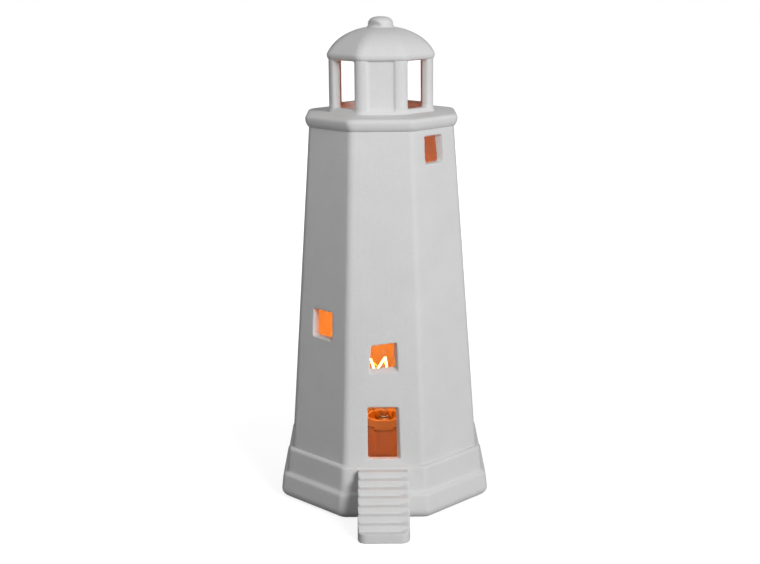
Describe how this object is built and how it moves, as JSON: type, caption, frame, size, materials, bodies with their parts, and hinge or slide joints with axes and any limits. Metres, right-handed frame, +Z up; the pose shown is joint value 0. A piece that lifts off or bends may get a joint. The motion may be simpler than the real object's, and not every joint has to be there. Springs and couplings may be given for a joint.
{
  "type": "garden lighthouse light",
  "caption": "Octagonal slip-cast ceramic lighthouse with a stepped plinth, door, windows and domed lantern, lit by a screw bulb in a push-in lamp holder.",
  "frame": {"origin": "on the ground, in the middle of the box round the footprint, so the tower's axis stands 19.5 mm behind it", "axes": "+Z up along the tower; -Y to the front, with the steps and the door; +X to the right seen from the front"},
  "size_m": [0.1436, 0.1826, 0.3286],
  "materials": {
    "bisque": "matte",
    "holder_plastic": "satin",
    "spring_steel": "satin",
    "brass": "satin",
    "fibre": "matte",
    "solder": "satin",
    "black_glass": "gloss",
    "clear_glass": "gloss",
    "lead_wire": "satin",
    "tungsten": "matte"
  },
  "bodies": {
    "lighthouse": {"stepped_plinth": "bisque", "entrance_steps": "bisque", "tower_shaft": "bisque", "gallery_ledge": "bisque", "lantern_house": "bisque", "dome_roof": "bisque", "roof_knob": "bisque"},
    "lamp_holder": {"lamp_holder_body": "holder_plastic", "holder_collar": "holder_plastic", "holder_cap": "holder_plastic", "leaf_springs": "spring_steel", "spring_rivets": "spring_steel", "screw_shell": "brass", "centre_contact": "brass", "contact_insulator": "fibre", "wire_terminals": "brass"},
    "bulb_tip": {"bulb_tip_contact": "solder"},
    "bulb": {"bulb_cap": "brass", "bulb_insulator": "black_glass", "bulb_glass": "clear_glass", "bulb_stem": "clear_glass", "lead_wires": "lead_wire", "filament_supports": "lead_wire", "filament": "tungsten"}
  },
  "joints": [
    {"name": "holder_pull", "type": "slide", "parent": "lighthouse", "child": "lamp_holder", "axis": [0, 0, -1], "range_m": [0, 0.01]},
    {"name": "bulb_rise", "type": "slide", "parent": "lamp_holder", "child": "bulb_tip", "axis": [0, 0, 1], "range_m": [0, 0.00889]},
    {"name": "bulb_turn", "type": "hinge", "parent": "bulb_tip", "child": "bulb", "pos_m": [0, 0.0195, 0.03], "axis": [0, 0, 1], "range_deg": [0, 1260]}
  ],
  "couplings": [
    {"joint": "bulb_turn", "follows": "bulb_rise", "rad_per_m": 2473.7}
  ]
}
